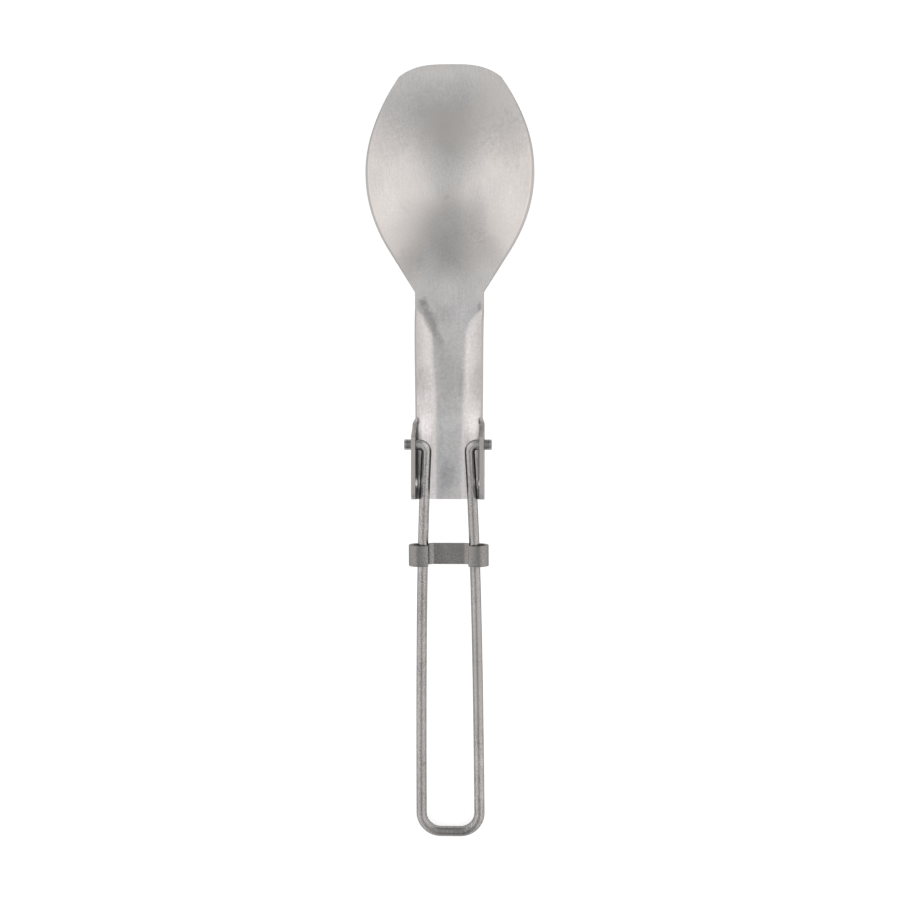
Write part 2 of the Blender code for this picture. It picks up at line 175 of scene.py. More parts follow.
# Studio: a light tent, brighter on the left and right and a little brighter overhead
TENT_BRIGHTNESS = 0.37
TENT_SIDES_BRIGHTNESS = 0.81
TENT_TOP_BRIGHTNESS = 0.25
TENT_SIDES_FULL_SHARE = 0.8
TENT_TOP_START_SHARE = 0.6
TENT_SIDES_COLOUR = (1.03, 0.975, 0.95, 1.0)
FLOOR_GLOW = 0.66
FLOOR_SHADE = 0.55
FLOOR_ROUGHNESS = 0.9
FLOOR_SIZE = 3.0
FLOOR_GAP = 0.0002

# Sockets of a mix node: its share, its two colours and the mixed colour
MIX_SHARE_SOCKET = 0
MIX_FIRST_SOCKET = 6
MIX_SECOND_SOCKET = 7
MIX_RESULT_SOCKET = 2

# Finish of the metals: how large its marks are, and how much each kind counts
LINE_GRAIN_SHARE = 0.7
PATCH_SIZE = 0.007
PATCH_STRETCH = 1.4
TINT_SIZE = 0.012
TINT_STRETCH = 1.2
FINE_DETAIL = 3.0
TINT_DETAIL = 1.0
NOISE_ROUGHNESS = 0.6
SPECKLE_SHARE = 0.45
LINES_SHARE = 0.35
PATCHES_SHARE = 0.20
TONE_RANGE = (0.39, 0.61)
WARM_RANGE = (0.42, 0.68)
WARM_SHARE = 0.7
GLOSS_PATCHES_SHARE = 0.7
GLOSS_SPECKLE_SHARE = 0.3
GLOSS_RANGE = (0.3, 0.7)
GLOSS_VARIATION = 0.05

# Each metal: its dark, light and warm tone as brightness and warmth, its roughness, its tone at a flat
# angle, the width of its grain, how far its lines are drawn out, and the depths of lines and grain
HEAD_METAL = {
    "tones": ((0.535, 0.006), (0.685, 0.008), (0.63, 0.02)),
    "roughness": 0.37,
    "edge_tone": 0.5,
    "grain": 0.00026,
    "stretch": 30.0,
    "depths": (0.000005, 0.000006),
}
CUT_EDGE_METAL = {
    "tones": ((0.40, 0.006), (0.50, 0.008), (0.46, 0.012)),
    "roughness": 0.42,
    "edge_tone": 0.5,
    "grain": 0.00022,
    "stretch": 3.0,
    "depths": (0.000004, 0.000008),
}
WIRE_METAL = {
    "tones": ((0.195, 0.002), (0.525, 0.004), (0.37, 0.008)),
    "roughness": 0.18,
    "edge_tone": 0.10,
    "grain": 0.00026,
    "stretch": 9.0,
    "depths": (0.000003, 0.000006),
}
SLIDER_METAL = {
    "tones": ((0.157, 0.003), (0.342, 0.004), (0.26, 0.008)),
    "roughness": 0.25,
    "edge_tone": 0.5,
    "grain": 0.00024,
    "stretch": 2.0,
    "depths": (0.000003, 0.000008),
}

# Painted shade on the head's ears from one height to another, and its shank is worn: cooler and speckled
EAR_PAINTED_SHADE_TONE = 0.78
EAR_SHADE_START = 0.0088
EAR_SHADE_END = 0.0104
WORN_TINT = (1.07, 1.085, 1.11, 1.0)
WEAR_GRAIN = 0.0006
WEAR_RANGE = (0.3, 0.7)
WEAR_TONE = 0.83
WEAR_START = 0.0500
WEAR_END = 0.0380

# Ragged edges of the marks and of the painted shade and highlights, the share of a mark that has its full
# tone, and how deep a mark reaches
MARK_RAGGED_GRAIN = 0.0009
MARK_RAGGED_SHARE = 0.5
MARK_CORE_SHARE = 0.2
MARK_DEPTH = 1.0

# Marks on the head, most of them painted shade, painted highlights and painted reflections: across, along,
# half width, half length, turn in degrees, tone
HEAD_MARKS_AND_PAINTED_LIGHT = (
    # Darker patches at the corners of the neck, and a light line along the right crease
    (-0.0040, 0.0384, 0.0018, 0.0068, 23, 0.66),
    (-0.0058, 0.0424, 0.0016, 0.0016, 0, 0.72),
    (-0.0024, 0.0335, 0.0018, 0.0055, 8, 0.91),
    (0.0065, 0.0416, 0.0007, 0.0014, -10, 0.72),
    (0.0042, 0.0322, 0.0007, 0.0026, -14, 1.08),
    # Floor of the shank: painted shade, darkest between the ears, and a painted highlight near the front
    # of the ears
    (-0.0003, 0.0264, 0.0042, 0.0105, 0, 0.86),
    (-0.0003, 0.0050, 0.0024, 0.0050, 0, 0.78),
    (0.0, 0.0168, 0.0030, 0.0026, 0, 1.10),
    (0.0028, 0.0245, 0.0014, 0.0060, 0, 0.84),
    (-0.0010, 0.0400, 0.0034, 0.0030, 0, 0.87),
    # Slanted walls of the shank: painted shade midway along, and painted highlights beside the legs
    (-0.0058, 0.0255, 0.0026, 0.0050, 0, 0.82),
    (0.0060, 0.0250, 0.0026, 0.0062, 0, 0.80),
    (-0.0052, 0.0165, 0.0026, 0.0038, 0, 1.22),
    (0.0052, 0.0165, 0.0026, 0.0038, 0, 1.20),
    (-0.0052, 0.0138, 0.0024, 0.0036, 0, 1.12),
    (0.0052, 0.0138, 0.0024, 0.0036, 0, 1.12),
    # Bowl: painted reflections, darker and lighter patches
    (-0.0010, 0.0815, 0.0140, 0.0110, 0, 0.92),
    (0.0132, 0.0785, 0.0068, 0.0085, 0, 0.81),
    (-0.0138, 0.0778, 0.0062, 0.0070, 0, 0.87),
    (0.0145, 0.0640, 0.0055, 0.0070, 0, 1.11),
    (-0.0140, 0.0638, 0.0050, 0.0070, 0, 1.10),
    (0.0058, 0.0620, 0.0034, 0.0085, 0, 0.89),
    (-0.0096, 0.0508, 0.0040, 0.0070, -28, 0.87),
    (0.0094, 0.0530, 0.0040, 0.0090, 28, 0.89),
    (0.0002, 0.0552, 0.0060, 0.0060, 0, 0.94),
    (-0.0010, 0.0660, 0.0009, 0.0009, 0, 0.90),
    (0.0, 0.0925, 0.0140, 0.0030, 0, 1.08),
    # Scratches on the left of the bowl
    (-0.0108, 0.0640, 0.00014, 0.0030, 26, 0.88),
    (-0.0100, 0.0634, 0.00010, 0.0022, 26, 0.90),
    (-0.0103, 0.0536, 0.00012, 0.0014, 30, 0.88),
    # Painted shade in the gaps along the ears and at their ends, a painted highlight on the left ear's
    # edge, and painted highlights on the dimples
    (-0.0065, 0.0090, 0.0011, 0.0100, 0, 0.52),
    (0.0065, 0.0090, 0.0011, 0.0100, 0, 0.55),
    (-0.0063, 0.0008, 0.0010, 0.0030, 0, 0.60),
    (0.0063, 0.0008, 0.0010, 0.0030, 0, 0.60),
    (-0.0076, 0.0080, 0.0014, 0.0110, 0, 1.16),
    (-0.0065, 0.0036, 0.0008, 0.0016, 0, 2.20),
    (0.0065, 0.0036, 0.0008, 0.0016, 0, 2.40),
)

# Marks on the wire, in the same terms, most of them painted light: darker ends with painted glints at
# their tips, painted highlights on the bends beside them, and painted shade on the end of its loop
WIRE_MARKS_AND_PAINTED_LIGHT = (
    (-0.0090, 0.0118, 0.0016, 0.0020, 0, 0.62),
    (0.0090, 0.0118, 0.0016, 0.0020, 0, 0.72),
    (-0.0093, 0.0118, 0.0006, 0.0022, 0, 1.80),
    (0.0093, 0.0118, 0.0006, 0.0022, 0, 1.80),
    (-0.0056, 0.0120, 0.0028, 0.0022, 0, 1.30),
    (0.0056, 0.0120, 0.0028, 0.0022, 0, 1.25),
    (0.0, -0.0738, 0.0160, 0.0042, 0, 0.88),
)

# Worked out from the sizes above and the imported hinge
BEHAVIOUR = frame["record"]["behaviour"]
JOINTS = {joint["name"]: joint for joint in BEHAVIOUR["joints"]}
PIVOT_PLACE = Vector(JOINTS["handle_fold"]["pos_m"])
PIVOT_Y = PIVOT_PLACE.y
PIVOT_HEIGHT = PIVOT_PLACE.z
WIRE_RADIUS = WIRE_DIAMETER / 2
HANDLE_TILT = math.asin((PIVOT_HEIGHT - WIRE_RADIUS) / HANDLE_REACH)
HEAD_LENGTH = SHANK_LENGTH + BOWL_LENGTH
WIDEST = HEAD_LENGTH - WIDEST_FROM_TIP
TIP_CORNER = HEAD_LENGTH - TIP_CORNER_SETBACK
FLARE_START = SHANK_LENGTH - FLARE_FROM_NECK
DISH_START = SHANK_LENGTH - DISH_FROM_NECK
WALL_RISE = math.tan(WALL_ANGLE)
EAR_BEND_ANGLE = math.pi / 2 - WALL_ANGLE
HEAD_END_Y = PIVOT_Y - PIVOT_FROM_HEAD_END
HANDLE_PLACE = Matrix.Translation(PIVOT_PLACE) @ Matrix.Rotation(HANDLE_TILT, 4, "X")


def blend(first, last, share):
    return first + (last - first) * share


def smooth_step(value):
    """0 below 0, 1 above 1, and an even S-curve between."""
    value = min(max(value, 0.0), 1.0)
    return value * value * (3.0 - 2.0 * value)


def spaced(first, last, steps):
    """Values from first towards last in even steps, without last itself."""
    return [blend(first, last, step / steps) for step in range(steps)]


# The head's shape. "Along" is measured from the end of the head towards the tip, "across" from its
# middle line outwards.
def bowl_half_width(along):
    """A curve each way from the bowl's widest line, then a straight side on to the neck corner."""
    away = WIDEST - along
    if away < 0:
        return BOWL_HALF_WIDTH * (1.0 - (away / FRONT_CLOSING_LENGTH) ** 2)
    neck = WIDEST - SHANK_LENGTH
    touch = neck - STRAIGHT_SIDE_LENGTH
    reach = touch ** (REAR_CURVE_POWER - 1) * (touch + REAR_CURVE_POWER * STRAIGHT_SIDE_LENGTH)
    curvature = (BOWL_HALF_WIDTH - NECK_HALF_WIDTH) / reach
    if away < touch:
        return BOWL_HALF_WIDTH - curvature * away**REAR_CURVE_POWER
    width_at_touch = BOWL_HALF_WIDTH - curvature * touch**REAR_CURVE_POWER
    return blend(width_at_touch, NECK_HALF_WIDTH, (away - touch) / STRAIGHT_SIDE_LENGTH)


def head_half_width(along):
    if along >= SHANK_LENGTH:
        return bowl_half_width(along)
    return blend(SHANK_HALF_WIDTH, NECK_HALF_WIDTH, smooth_step(along / SHANK_LENGTH))


def drop_share(along):
    """0 on the low floor between the ears, 1 on the high floor towards the neck."""
    return smooth_step((along - DROP_FROM_HEAD_END) / DROP_LENGTH)


def spine_height(along):
    """Height on the middle line: level at the tip and the lowest spot, then a ramp up to the shank."""
    from_tip = HEAD_LENGTH - along
    lowest = -REST_FLAT_DEPTH
    if from_tip < LOWEST_FROM_TIP:
        return blend(lowest, TIP_HEIGHT, smooth_step(1.0 - from_tip / LOWEST_FROM_TIP))
    ramp = smooth_step((from_tip - LOWEST_FROM_TIP) / RAMP_LENGTH)
    return blend(lowest, SHANK_FLOOR_HEIGHT - SHANK_DROP * (1.0 - drop_share(along)), ramp)


def rim_height(along):
    """Height of the bowl's rim: from the neck down to its sides, then through a dip to the tip."""
    if along > WIDEST:
        share = min((along - WIDEST) / (TIP_CORNER - WIDEST), 1.0)
        dip = RIM_DIP * math.sin(math.pi * share) ** 2
        return blend(SIDE_RIM_HEIGHT, TIP_CORNER_HEIGHT, smooth_step(share)) - dip
    share = smooth_step((along - SHANK_LENGTH) / NECK_FALL_LENGTH)
    return blend(NECK_RIM_HEIGHT, SIDE_RIM_HEIGHT, share)


def crease_half_width(along):
    """Half width of the shank's flat floor, which flares in a curve before the corners of the neck."""
    flare = FLARE_WIDTH * (max(along - FLARE_START, 0.0) / FLARE_LENGTH) ** 3
    return blend(LOW_FLOOR_HALF_WIDTH, FLOOR_HALF_WIDTH, drop_share(along)) + flare


def sheet_height(across, along):
    """The dish of the bowl, or the slanted wall of the shank where that is higher."""
    spine = spine_height(along)
    depth = (rim_height(along) - spine) * smooth_step((along - DISH_START) / DISH_FROM_NECK)
    share = across / head_half_width(along)
    dish = spine + depth * share**2
    wall = spine + (across - crease_half_width(along)) * WALL_RISE
    return (dish + wall + math.hypot(dish - wall, CREASE_SOFTNESS)) / 2


def head_point(across, along):
    """A point of the back face. The rows bulge towards the tip, so that the last one is the tip's edge."""
    bulge = TIP_CORNER_SETBACK * smooth_step((along - WIDEST) / (TIP_CORNER - WIDEST))
    place = along + bulge * (1.0 - (across / head_half_width(along)) ** TIP_CURVE_POWER)
    return Vector((across, HEAD_END_Y + place, sheet_height(across, place)))


def turned_share(along):
    """0 on the shank, rising quickly to 1 where the wall's edge has turned upright into the ear."""
    inside_ear = min(max((EAR_LENGTH - along) / EAR_TURN_LENGTH, 0.0), 1.0)
    return math.sin(inside_ear * math.pi / 2)


def ear_root(along):
    """Where the ear's bend starts across the sheet, so that the edge above it keeps to the outline."""
    turned = turned_share(along)
    edge = blend(head_half_width(along), EAR_HALF_SPACING, turned)
    end_angle = WALL_ANGLE + EAR_BEND_ANGLE * turned
    bend_reach = EAR_BEND_RADIUS * (math.sin(end_angle) - math.sin(WALL_ANGLE))
    return edge - bend_reach - EAR_ROOT_LENGTH * math.cos(end_angle)


def ear_points(root, along):
    """Points up the ear: the wall's last strip turns upright first, and then grows to its full height."""
    turned = turned_share(along)
    growth_start = EAR_LENGTH - EAR_TURN_LENGTH
    grown = smooth_step((growth_start - along) / (EAR_FRONT_LENGTH - EAR_TURN_LENGTH))
    inside_corner = max(EAR_CORNER_RADIUS - along, 0.0)
    corner_drop = EAR_CORNER_RADIUS - math.sqrt(EAR_CORNER_RADIUS**2 - inside_corner**2)
    root_height = sheet_height(root, along)
    bend_height = EAR_BEND_RADIUS * math.cos(WALL_ANGLE)
    full_height = PIVOT_HEIGHT + EAR_ABOVE_PIVOT - corner_drop - root_height - bend_height
    upright = blend(EAR_ROOT_LENGTH, full_height, grown)
    bend = EAR_BEND_RADIUS * EAR_BEND_ANGLE * turned
    columns = EAR_BEND_COLUMNS + EAR_UPRIGHT_COLUMNS
    knee = bend + upright * (1.0 - turned) * EAR_BEND_COLUMNS / columns
    lengths = spaced(0.0, knee, EAR_BEND_COLUMNS)[1:]
    lengths += spaced(knee, bend + upright, EAR_UPRIGHT_COLUMNS) + [bend + upright]
    points = []
    for length in lengths:
        angle = WALL_ANGLE + min(length, bend) / EAR_BEND_RADIUS
        straight = max(length - bend, 0.0)
        outwards = EAR_BEND_RADIUS * (math.sin(angle) - math.sin(WALL_ANGLE)) + straight * math.cos(angle)
        upwards = EAR_BEND_RADIUS * (math.cos(WALL_ANGLE) - math.cos(angle)) + straight * math.sin(angle)
        points.append(Vector((root + outwards, HEAD_END_Y + along, root_height + upwards)))
    return points


def head_row(along):
    """Points of the back face from the middle line out to the rim, or up to the top of the ear."""
    root = ear_root(along)
    crease_reach = CREASE_SOFTNESS * 2
    crease = min(crease_half_width(along), root - crease_reach)
    crease_start = crease - crease_reach
    crease_end = min(crease + crease_reach, blend(crease, root, 0.5))
    places = spaced(0.0, crease_start, FLOOR_COLUMNS)
    places += spaced(crease_start, crease_end, CREASE_COLUMNS)
    places += spaced(crease_end, root, WALL_COLUMNS) + [root]
    if along < EAR_LENGTH:
        return [head_point(across, along) for across in places] + ear_points(root, along)
    places += [point.x for point in ear_points(root, along)]

    # In the bowl there is no crease, and the columns spread out evenly
    spread = smooth_step((along - SHANK_LENGTH) / BOWL_COLUMN_LENGTH)
    last = len(places) - 1
    even = [head_half_width(along) * column / last for column in range(last + 1)]
    return [head_point(blend(place, level, spread), along) for place, level in zip(places, even)]


def head_rows():
    """Where the rows lie: close together where the shape turns, wider apart where it runs on."""
    corner_angles = spaced(0.0, math.pi / 2, CORNER_ROWS)
    rows = [EAR_CORNER_RADIUS * (1.0 - math.cos(angle)) for angle in corner_angles]
    rows += spaced(EAR_CORNER_RADIUS, EAR_LENGTH - EAR_FRONT_LENGTH, EAR_ROWS)
    rows += spaced(EAR_LENGTH - EAR_FRONT_LENGTH, EAR_LENGTH, EAR_FRONT_ROWS)
    rows += spaced(EAR_LENGTH, FLARE_START, SHANK_ROWS)
    rows += spaced(FLARE_START, SHANK_LENGTH, FLARE_ROWS)
    rows += spaced(SHANK_LENGTH, SHANK_LENGTH + BOWL_COLUMN_LENGTH, NECK_ROWS)
    rows += spaced(SHANK_LENGTH + BOWL_COLUMN_LENGTH, WIDEST, BOWL_REAR_ROWS)
    return rows + spaced(WIDEST, TIP_CORNER, BOWL_FRONT_ROWS) + [TIP_CORNER]


# Helpers for objects
def object_from_bmesh(name, form):
    mesh = bpy.data.meshes.new(name)
    form.to_mesh(mesh)
    form.free()
    thing = bpy.data.objects.new(name, mesh)
    bpy.context.scene.collection.objects.link(thing)
    return thing


def settled(thing):
    """The object with its modifiers turned into a plain mesh, shaded smooth between its sharp edges."""
    bpy.context.view_layer.update()
    graph = bpy.context.evaluated_depsgraph_get()
    mesh = bpy.data.meshes.new_from_object(thing.evaluated_get(graph))
    name = thing.name
    bpy.data.objects.remove(thing, do_unlink=True)
    mesh.name = name
    mesh.shade_smooth()
    mesh.set_sharp_from_angle(angle=SMOOTH_ANGLE)
    result = bpy.data.objects.new(name, mesh)
    bpy.context.scene.collection.objects.link(result)
    return result


def add_boolean(thing, operation, other):
    boolean = thing.modifiers.new(other.name, "BOOLEAN")
    boolean.operation = operation
    boolean.solver = "EXACT"
    boolean.object = other


def add_edge_rounding(thing, width):
    rounding = thing.modifiers.new("edge_rounding", "BEVEL")
    rounding.limit_method = "ANGLE"
    rounding.angle_limit = EDGE_ANGLE
    rounding.width = width
    rounding.segments = EDGE_SEGMENTS


def add_even_normals(thing):
    """Large faces keep their own direction, so that cuts leave no dark streaks around them."""
    normals = thing.modifiers.new("even_normals", "WEIGHTED_NORMAL")
    normals.keep_sharp = True


# Helpers for materials
def add_node(tree, kind, inputs=None, **settings):
    """A new node, with its settings, and its inputs set to values or linked to other nodes' outputs."""
    node = tree.nodes.new(kind)
    for key, value in settings.items():
        setattr(node, key, value)
    for key, value in (inputs or {}).items():
        if isinstance(value, bpy.types.NodeSocket):
            tree.links.new(value, node.inputs[key])
        else:
            node.inputs[key].default_value = value
    return node


def math_node(tree, operation, first, second=0.0):
    return add_node(tree, "ShaderNodeMath", {0: first, 1: second}, operation=operation).outputs[0]


def remap(tree, value, low, high, new_low, new_high, soft=False):
    """The value from low to high turned into new_low to new_high, and held there outside."""
    inputs = {"Value": value, "From Min": low, "From Max": high, "To Min": new_low, "To Max": new_high}
    kind = "SMOOTHSTEP" if soft else "LINEAR"
    return add_node(tree, "ShaderNodeMapRange", inputs, interpolation_type=kind).outputs["Result"]


def noise(tree, place, grain, stretch=1.0, detail=FINE_DETAIL):
    """Noise with spots of one grain size across, drawn out lengthwise by the stretch."""
    scale = (1.0 / grain, 1.0 / (grain * stretch), 1.0 / grain)
    mapping = add_node(tree, "ShaderNodeMapping", {"Vector": place, "Scale": scale})
    inputs = {
        "Vector": mapping.outputs["Vector"],
        "Scale": 1.0,
        "Detail": detail,
        "Roughness": NOISE_ROUGHNESS,
    }
    return add_node(tree, "ShaderNodeTexNoise", inputs).outputs["Fac"]


def mixed(tree, share, first, second, how="MIX"):
    """The first colour turned into the second, or times the second, by the share."""
    inputs = {MIX_SHARE_SOCKET: share, MIX_FIRST_SOCKET: first, MIX_SECOND_SOCKET: second}
    node = add_node(tree, "ShaderNodeMix", inputs, data_type="RGBA", blend_type=how)
    return node.outputs[MIX_RESULT_SOCKET]


def weighted_sum(tree, *terms):
    """The sum of outputs, each times its share."""
    total = None
    for value, share in terms:
        term = math_node(tree, "MULTIPLY", value, share)
        total = math_node(tree, "ADD", total, term) if total else term
    return total


def grey(value, warmth=0.0):
    """A grey of this brightness, with the blue lowered and the red raised by the warmth."""
    return (value + warmth, value, value - warmth, 1.0)


def toned(tree, colour, share, tone):
    """The colour times the tone where the share is 1."""
    return mixed(tree, share, colour, grey(tone), how="MULTIPLY")


def marked(tree, place, colour, marks):
    """The colour with ragged oval marks on it, painted shade and painted highlights among them, whose
    places are measured from the end of the head.
    """
    ragged = noise(tree, place, MARK_RAGGED_GRAIN)
    ragged = remap(tree, ragged, 0.0, 1.0, -MARK_RAGGED_SHARE, MARK_RAGGED_SHARE)
    for across, along, half_width, half_length, turn, tone in marks:
        inputs = {
            "Vector": place,
            "Location": (across, HEAD_END_Y + along, 0.0),
            "Rotation": (0.0, 0.0, math.radians(turn)),
            "Scale": (half_width, half_length, MARK_DEPTH),
        }
        oval = add_node(tree, "ShaderNodeMapping", inputs, vector_type="TEXTURE").outputs["Vector"]
        distance = add_node(tree, "ShaderNodeVectorMath", {0: oval}, operation="LENGTH").outputs["Value"]
        distance = math_node(tree, "ADD", distance, ragged)
        share = remap(tree, distance, MARK_CORE_SHARE, 1.0, 1.0, 0.0, soft=True)
        colour = toned(tree, colour, share, tone)
    return colour


def bumped(tree, height, distance, normal=None):
    inputs = {"Height": height, "Distance": distance, "Strength": 1.0}
    if normal:
        inputs["Normal"] = normal
    return add_node(tree, "ShaderNodeBump", inputs).outputs["Normal"]


def shank_wear_and_ear_shade(tree, place, colour):
    """The head's colour, with painted shade up the ears, and cooler and speckled on the shank but not in
    the bowl.
    """
    places = add_node(tree, "ShaderNodeSeparateXYZ", {"Vector": place}).outputs
    # Painted shade on the ears from one height up
    raised = remap(tree, places["Z"], EAR_SHADE_START, EAR_SHADE_END, 0.0, 1.0, soft=True)
    colour = toned(tree, colour, raised, EAR_PAINTED_SHADE_TONE)
    wear_end = HEAD_END_Y + WEAR_END
    wear_start = HEAD_END_Y + WEAR_START
    worn = remap(tree, places["Y"], wear_end, wear_start, 1.0, 0.0, soft=True)
    colour = mixed(tree, worn, colour, WORN_TINT, how="MULTIPLY")
    spots = remap(tree, noise(tree, place, WEAR_GRAIN), *WEAR_RANGE, 0.0, 1.0)
    return toned(tree, colour, math_node(tree, "MULTIPLY", worn, spots), WEAR_TONE)


def worn_metal(name, tones, roughness, edge_tone, grain, stretch, depths, marks=(), shank=False):
    """Satin metal: fine speckle, faint lines along the piece, soft stains, tints, uneven gloss, and the
    marks it is given, painted shade and painted highlights among them.
    """
    material = bpy.data.materials.new(name)
    material.use_nodes = True
    tree = material.node_tree
    shader = tree.nodes["Principled BSDF"]
    shader.inputs["Metallic"].default_value = 1.0
    shader.inputs["Specular Tint"].default_value = grey(edge_tone)
    place = add_node(tree, "ShaderNodeTexCoord").outputs["Object"]
    speckle = noise(tree, place, grain)
    lines = noise(tree, place, grain * LINE_GRAIN_SHARE, stretch=stretch)
    patches = noise(tree, place, PATCH_SIZE, stretch=PATCH_STRETCH)
    tint = noise(tree, place, TINT_SIZE, stretch=TINT_STRETCH, detail=TINT_DETAIL)

    shade = weighted_sum(tree, (speckle, SPECKLE_SHARE), (lines, LINES_SHARE), (patches, PATCHES_SHARE))
    dark, light, warm = [grey(*tone) for tone in tones]
    colour = mixed(tree, remap(tree, shade, *TONE_RANGE, 0.0, 1.0), dark, light)
    colour = mixed(tree, remap(tree, tint, *WARM_RANGE, 0.0, WARM_SHARE), colour, warm)
    if shank:
        colour = shank_wear_and_ear_shade(tree, place, colour)
    # The given marks go on last, painted shade and painted highlights among them
    tree.links.new(marked(tree, place, colour, marks), shader.inputs["Base Color"])

    gloss = weighted_sum(tree, (patches, GLOSS_PATCHES_SHARE), (speckle, GLOSS_SPECKLE_SHARE))
    gloss = remap(tree, gloss, *GLOSS_RANGE, roughness - GLOSS_VARIATION, roughness + GLOSS_VARIATION)
    tree.links.new(gloss, shader.inputs["Roughness"])
    line_depth, grain_depth = depths
    normal = bumped(tree, speckle, grain_depth, bumped(tree, lines, line_depth))
    tree.links.new(normal, shader.inputs["Normal"])
    return material


# Head
def dimple_place(side, across):
    """A point on a dimple's axis, which lies across the ear and a little above the leg."""
    height = PIVOT_HEIGHT - DIMPLE_FROM_PIVOT * math.sin(HANDLE_TILT) + DIMPLE_ABOVE_LEG
    return Vector((side * across, PIVOT_Y - DIMPLE_FROM_PIVOT * math.cos(HANDLE_TILT), height))


def cap_radius(base_radius, rise):
    """Radius of the sphere whose cap has this base and rise."""
    return (base_radius**2 + rise**2) / (2 * rise)


def add_ball(form, radius, centre):
    bmesh.ops.create_uvsphere(
        form,
        u_segments=ROUND_SIDES,
        v_segments=DIMPLE_RINGS,
        radius=radius,
        matrix=Matrix.Translation(centre) @ Matrix.Rotation(math.pi / 2, 4, "Y"),
    )


def make_dimple_bump(side):
    """A cap of a sphere on the ear's inner face, closed off inside the sheet."""
    inner_face = EAR_HALF_SPACING - SHEET_THICKNESS
    radius = cap_radius(DIMPLE_RADIUS, DIMPLE_RISE)
    form = bmesh.new()
    add_ball(form, radius, dimple_place(side, inner_face - DIMPLE_RISE + radius))
    cut = bmesh.ops.bisect_plane(
        form,
        geom=form.verts[:] + form.edges[:] + form.faces[:],
        plane_co=dimple_place(side, inner_face + DIMPLE_ROOT_DEPTH),
        plane_no=(side, 0, 0),
        clear_outer=True,
    )
    cut_edges = [item for item in cut["geom_cut"] if isinstance(item, bmesh.types.BMEdge)]
    bmesh.ops.contextual_create(form, geom=cut_edges)
    bmesh.ops.recalc_face_normals(form, faces=form.faces[:])
    return object_from_bmesh("dimple_bump", form)


def make_ear_dent(side):
    radius = cap_radius(DENT_RADIUS, DENT_DEPTH)
    form = bmesh.new()
    add_ball(form, radius, dimple_place(side, EAR_HALF_SPACING - DENT_DEPTH + radius))
    return object_from_bmesh("ear_dent", form)


def make_pivot_drill(side):
    """A turned cutter that widens at both faces of the ear, which rounds the hole's edges."""
    radius = WIRE_RADIUS + PIVOT_CLEARANCE
    wide = radius + HOLE_EDGE_ROUNDING + CUT_OVERRUN
    inner_face = EAR_HALF_SPACING - SHEET_THICKNESS
    profile = [
        (inner_face - CUT_OVERRUN, wide),
        (inner_face + HOLE_EDGE_ROUNDING, radius),
        (EAR_HALF_SPACING - HOLE_EDGE_ROUNDING, radius),
        (EAR_HALF_SPACING + CUT_OVERRUN, wide),
    ]
    form = bmesh.new()
    rings = []
    for across, ring_radius in profile:
        ring = []
        for angle in spaced(0.0, 2 * math.pi, ROUND_SIDES):
            offset = Vector((side * across, ring_radius * math.cos(angle), ring_radius * math.sin(angle)))
            ring.append(form.verts.new(Vector((0, PIVOT_Y, PIVOT_HEIGHT)) + offset))
        rings.append(ring)
    for first, second in zip(rings, rings[1:]):
        for place in range(ROUND_SIDES):
            following = (place + 1) % ROUND_SIDES
            form.faces.new((first[place], second[place], second[following], first[following]))
    form.faces.new(rings[0])
    form.faces.new(rings[-1])
    bmesh.ops.recalc_face_normals(form, faces=form.faces[:])
    return object_from_bmesh("pivot_drill", form)


def make_rest_grinder():
    """A block whose top is the ground, which leaves a small flat on the back of the bowl."""
    form = bmesh.new()
    bmesh.ops.create_cube(form, size=1.0)
    bmesh.ops.scale(form, vec=(2 * BOWL_HALF_WIDTH, BOWL_LENGTH, CUT_OVERRUN), verts=form.verts[:])
    middle = Vector((0, HEAD_END_Y + HEAD_LENGTH - LOWEST_FROM_TIP, -CUT_OVERRUN / 2))
    bmesh.ops.translate(form, vec=middle, verts=form.verts[:])
    return object_from_bmesh("rest_grinder", form)


def make_head():
    """Half the back face as a loft, mirrored and thickened inwards, then pierced and dimpled."""
    form = bmesh.new()
    rows = [[form.verts.new(point) for point in head_row(along)] for along in head_rows()]
    for rear, front in zip(rows, rows[1:]):
        for column in range(len(rear) - 1):
            form.faces.new((rear[column], front[column], front[column + 1], rear[column + 1]))
    head = object_from_bmesh("stamped_head", form)
    # The head's marks are mostly painted shade, painted highlights and painted reflections, and its ears
    # get painted shade
    faces = worn_metal("brushed_titanium", marks=HEAD_MARKS_AND_PAINTED_LIGHT, shank=True, **HEAD_METAL)
    head.data.materials.append(faces)
    cut_edge = worn_metal("cut_titanium", **CUT_EDGE_METAL)
    head.data.materials.append(cut_edge)
    mirror = head.modifiers.new("mirror", "MIRROR")
    mirror.merge_threshold = MERGE_DISTANCE
    sheet = head.modifiers.new("sheet", "SOLIDIFY")
    sheet.thickness = SHEET_THICKNESS
    sheet.offset = -1.0
    sheet.use_even_offset = True
    sheet.material_offset_rim = 1
    add_edge_rounding(head, EDGE_ROUNDING)
    cutters = [make_rest_grinder()]
    add_boolean(head, "DIFFERENCE", cutters[0])
    for side in (-1, 1):
        bump = make_dimple_bump(side)
        dent = make_ear_dent(side)
        drill = make_pivot_drill(side)
        add_boolean(head, "UNION", bump)
        add_boolean(head, "DIFFERENCE", dent)
        add_boolean(head, "DIFFERENCE", drill)
        cutters += [bump, dent, drill]
    head = settled(head)
    for cutter in cutters:
        bpy.data.objects.remove(cutter, do_unlink=True)
    add_even_normals(head)
    return head


# Wire handle, in its own frame: the hinge axis is X and the legs run towards -Y
def leg_half_spacing(distance):
    """The legs spring apart from the pivot, quickly at first."""
    spread = LEG_HALF_SPACING_AT_LOOP - LEG_HALF_SPACING_AT_PIVOT
    return LEG_HALF_SPACING_AT_LOOP - spread * math.exp(-distance / LEG_FLARE_LENGTH)


